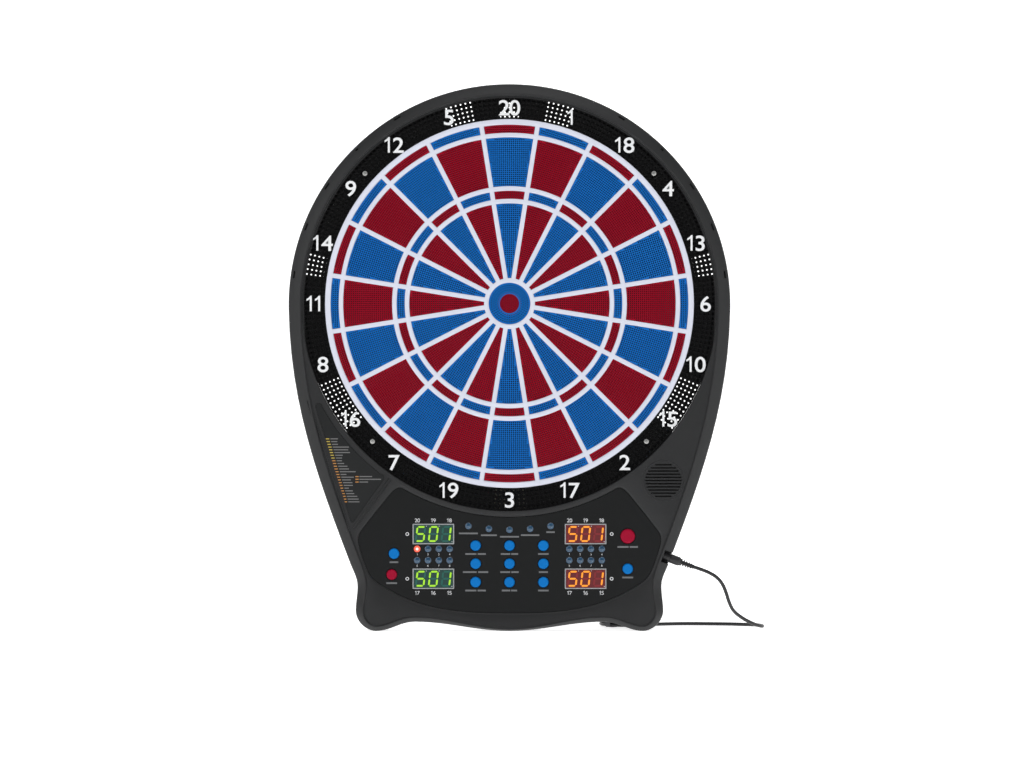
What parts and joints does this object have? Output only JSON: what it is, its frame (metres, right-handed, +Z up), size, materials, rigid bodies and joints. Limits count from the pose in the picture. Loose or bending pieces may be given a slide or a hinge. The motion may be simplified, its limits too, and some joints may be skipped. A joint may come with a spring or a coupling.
{
  "type": "electronic dartboard",
  "caption": "Electronic soft-tip dartboard: perforated sectors behind a white grid, number ring, score console with displays and buttons, and a mains adapter on a cord.",
  "frame": {"origin": "on the ground under the middle of the board, halfway through the depth of its housing", "axes": "+X to the player's right, +Y away from the player and out of the board's back, +Z up"},
  "size_m": [0.456, 0.097, 0.5206],
  "materials": {
    "charcoal_plastic": "moulded ABS with a fine sheen",
    "black_plastic": "moulded black ABS",
    "white_plastic": "satin, cool white",
    "red_bed": "satin thermoplastic",
    "blue_bed": "satin thermoplastic",
    "mat_rubber": "matt sheet",
    "sensor_film": "polyester switch film",
    "hardboard": "pressed fibre board",
    "gloss_black": "smooth, faintly glossy",
    "circuit_laminate": "green solder mask",
    "speaker_cone": "matt",
    "jack_plastic": "matt",
    "cord_pvc": "soft black sheath",
    "adapter_plastic": "lightly textured",
    "display_frame": "pale frame round a lit window",
    "smoked_lens": "dark blue clear lens",
    "blue_button": "satin gloss",
    "red_button": "satin gloss"
  },
  "bodies": {
    "housing": {"front_bezel": "charcoal_plastic", "rear_cover": "black_plastic", "catch_ring": "black_plastic", "spider": "white_plastic", "pressure_mat": "mat_rubber", "sensor_membrane": "sensor_film", "backing_plate": "hardboard", "control_panel": "gloss_black", "game_list_plate": "gloss_black", "main_board": "circuit_laminate", "display_upper_left": "display_frame", "display_lower_left": "display_frame", "display_upper_right": "display_frame", "display_lower_right": "display_frame", "mode_lights": "smoked_lens", "score_lights_left": "smoked_lens", "score_lights_right": "smoked_lens", "speaker": "speaker_cone", "dc_jack": "jack_plastic", "dc_plug": "cord_pvc", "supply_cord": "cord_pvc", "cord_coil": "cord_pvc", "cord_tail": "cord_pvc", "power_adapter": "adapter_plastic"},
    "sector_20": {"sector_20": "red_bed"},
    "sector_1": {"sector_1": "blue_bed"},
    "sector_18": {"sector_18": "red_bed"},
    "sector_4": {"sector_4": "blue_bed"},
    "sector_13": {"sector_13": "red_bed"},
    "sector_6": {"sector_6": "blue_bed"},
    "sector_10": {"sector_10": "red_bed"},
    "sector_15": {"sector_15": "blue_bed"},
    "sector_2": {"sector_2": "red_bed"},
    "sector_17": {"sector_17": "blue_bed"},
    "sector_3": {"sector_3": "red_bed"},
    "sector_19": {"sector_19": "blue_bed"},
    "sector_7": {"sector_7": "red_bed"},
    "sector_16": {"sector_16": "blue_bed"},
    "sector_8": {"sector_8": "red_bed"},
    "sector_11": {"sector_11": "blue_bed"},
    "sector_14": {"sector_14": "red_bed"},
    "sector_9": {"sector_9": "blue_bed"},
    "sector_12": {"sector_12": "red_bed"},
    "sector_5": {"sector_5": "blue_bed"},
    "outer_bull": {"outer_bull": "blue_bed"},
    "inner_bull": {"inner_bull": "red_bed"},
    "button_miss": {"button_miss": "blue_button"},
    "button_bounce_out": {"button_bounce_out": "blue_button"},
    "button_player": {"button_player": "blue_button"},
    "button_score": {"button_score": "blue_button"},
    "button_guard": {"button_guard": "blue_button"},
    "button_game": {"button_game": "blue_button"},
    "button_match": {"button_match": "blue_button"},
    "button_handicap": {"button_handicap": "blue_button"},
    "button_select": {"button_select": "blue_button"},
    "button_reset": {"button_reset": "blue_button"},
    "button_power": {"button_power": "red_button"},
    "button_start": {"button_start": "red_button"},
    "button_sound": {"button_sound": "blue_button"}
  },
  "joints": [
    {"name": "sector_20_press", "type": "slide", "parent": "housing", "child": "sector_20", "axis": [0, 1, 0], "range_m": [0, 0.0015], "stiffness_N_per_m": 600},
    {"name": "sector_1_press", "type": "slide", "parent": "housing", "child": "sector_1", "axis": [0, 1, 0], "range_m": [0, 0.0015], "stiffness_N_per_m": 600},
    {"name": "sector_18_press", "type": "slide", "parent": "housing", "child": "sector_18", "axis": [0, 1, 0], "range_m": [0, 0.0015], "stiffness_N_per_m": 600},
    {"name": "sector_4_press", "type": "slide", "parent": "housing", "child": "sector_4", "axis": [0, 1, 0], "range_m": [0, 0.0015], "stiffness_N_per_m": 600},
    {"name": "sector_13_press", "type": "slide", "parent": "housing", "child": "sector_13", "axis": [0, 1, 0], "range_m": [0, 0.0015], "stiffness_N_per_m": 600},
    {"name": "sector_6_press", "type": "slide", "parent": "housing", "child": "sector_6", "axis": [0, 1, 0], "range_m": [0, 0.0015], "stiffness_N_per_m": 600},
    {"name": "sector_10_press", "type": "slide", "parent": "housing", "child": "sector_10", "axis": [0, 1, 0], "range_m": [0, 0.0015], "stiffness_N_per_m": 600},
    {"name": "sector_15_press", "type": "slide", "parent": "housing", "child": "sector_15", "axis": [0, 1, 0], "range_m": [0, 0.0015], "stiffness_N_per_m": 600},
    {"name": "sector_2_press", "type": "slide", "parent": "housing", "child": "sector_2", "axis": [0, 1, 0], "range_m": [0, 0.0015], "stiffness_N_per_m": 600},
    {"name": "sector_17_press", "type": "slide", "parent": "housing", "child": "sector_17", "axis": [0, 1, 0], "range_m": [0, 0.0015], "stiffness_N_per_m": 600},
    {"name": "sector_3_press", "type": "slide", "parent": "housing", "child": "sector_3", "axis": [0, 1, 0], "range_m": [0, 0.0015], "stiffness_N_per_m": 600},
    {"name": "sector_19_press", "type": "slide", "parent": "housing", "child": "sector_19", "axis": [0, 1, 0], "range_m": [0, 0.0015], "stiffness_N_per_m": 600},
    {"name": "sector_7_press", "type": "slide", "parent": "housing", "child": "sector_7", "axis": [0, 1, 0], "range_m": [0, 0.0015], "stiffness_N_per_m": 600},
    {"name": "sector_16_press", "type": "slide", "parent": "housing", "child": "sector_16", "axis": [0, 1, 0], "range_m": [0, 0.0015], "stiffness_N_per_m": 600},
    {"name": "sector_8_press", "type": "slide", "parent": "housing", "child": "sector_8", "axis": [0, 1, 0], "range_m": [0, 0.0015], "stiffness_N_per_m": 600},
    {"name": "sector_11_press", "type": "slide", "parent": "housing", "child": "sector_11", "axis": [0, 1, 0], "range_m": [0, 0.0015], "stiffness_N_per_m": 600},
    {"name": "sector_14_press", "type": "slide", "parent": "housing", "child": "sector_14", "axis": [0, 1, 0], "range_m": [0, 0.0015], "stiffness_N_per_m": 600},
    {"name": "sector_9_press", "type": "slide", "parent": "housing", "child": "sector_9", "axis": [0, 1, 0], "range_m": [0, 0.0015], "stiffness_N_per_m": 600},
    {"name": "sector_12_press", "type": "slide", "parent": "housing", "child": "sector_12", "axis": [0, 1, 0], "range_m": [0, 0.0015], "stiffness_N_per_m": 600},
    {"name": "sector_5_press", "type": "slide", "parent": "housing", "child": "sector_5", "axis": [0, 1, 0], "range_m": [0, 0.0015], "stiffness_N_per_m": 600},
    {"name": "outer_bull_press", "type": "slide", "parent": "housing", "child": "outer_bull", "axis": [0, 1, 0], "range_m": [0, 0.0015], "stiffness_N_per_m": 600},
    {"name": "inner_bull_press", "type": "slide", "parent": "housing", "child": "inner_bull", "axis": [0, 1, 0], "range_m": [0, 0.0015], "stiffness_N_per_m": 600},
    {"name": "button_miss_press", "type": "slide", "parent": "housing", "child": "button_miss", "axis": [0, 1, 0], "range_m": [0, 0.001], "stiffness_N_per_m": 400},
    {"name": "button_bounce_out_press", "type": "slide", "parent": "housing", "child": "button_bounce_out", "axis": [0, 1, 0], "range_m": [0, 0.001], "stiffness_N_per_m": 400},
    {"name": "button_player_press", "type": "slide", "parent": "housing", "child": "button_player", "axis": [0, 1, 0], "range_m": [0, 0.001], "stiffness_N_per_m": 400},
    {"name": "button_score_press", "type": "slide", "parent": "housing", "child": "button_score", "axis": [0, 1, 0], "range_m": [0, 0.001], "stiffness_N_per_m": 400},
    {"name": "button_guard_press", "type": "slide", "parent": "housing", "child": "button_guard", "axis": [0, 1, 0], "range_m": [0, 0.001], "stiffness_N_per_m": 400},
    {"name": "button_game_press", "type": "slide", "parent": "housing", "child": "button_game", "axis": [0, 1, 0], "range_m": [0, 0.001], "stiffness_N_per_m": 400},
    {"name": "button_match_press", "type": "slide", "parent": "housing", "child": "button_match", "axis": [0, 1, 0], "range_m": [0, 0.001], "stiffness_N_per_m": 400},
    {"name": "button_handicap_press", "type": "slide", "parent": "housing", "child": "button_handicap", "axis": [0, 1, 0], "range_m": [0, 0.001], "stiffness_N_per_m": 400},
    {"name": "button_select_press", "type": "slide", "parent": "housing", "child": "button_select", "axis": [0, 1, 0], "range_m": [0, 0.001], "stiffness_N_per_m": 400},
    {"name": "button_reset_press", "type": "slide", "parent": "housing", "child": "button_reset", "axis": [0, 1, 0], "range_m": [0, 0.001], "stiffness_N_per_m": 400},
    {"name": "button_power_press", "type": "slide", "parent": "housing", "child": "button_power", "axis": [0, 1, 0], "range_m": [0, 0.001], "stiffness_N_per_m": 400},
    {"name": "button_start_press", "type": "slide", "parent": "housing", "child": "button_start", "axis": [0, 1, 0], "range_m": [0, 0.001], "stiffness_N_per_m": 400},
    {"name": "button_sound_press", "type": "slide", "parent": "housing", "child": "button_sound", "axis": [0, 1, 0], "range_m": [0, 0.001], "stiffness_N_per_m": 400}
  ]
}
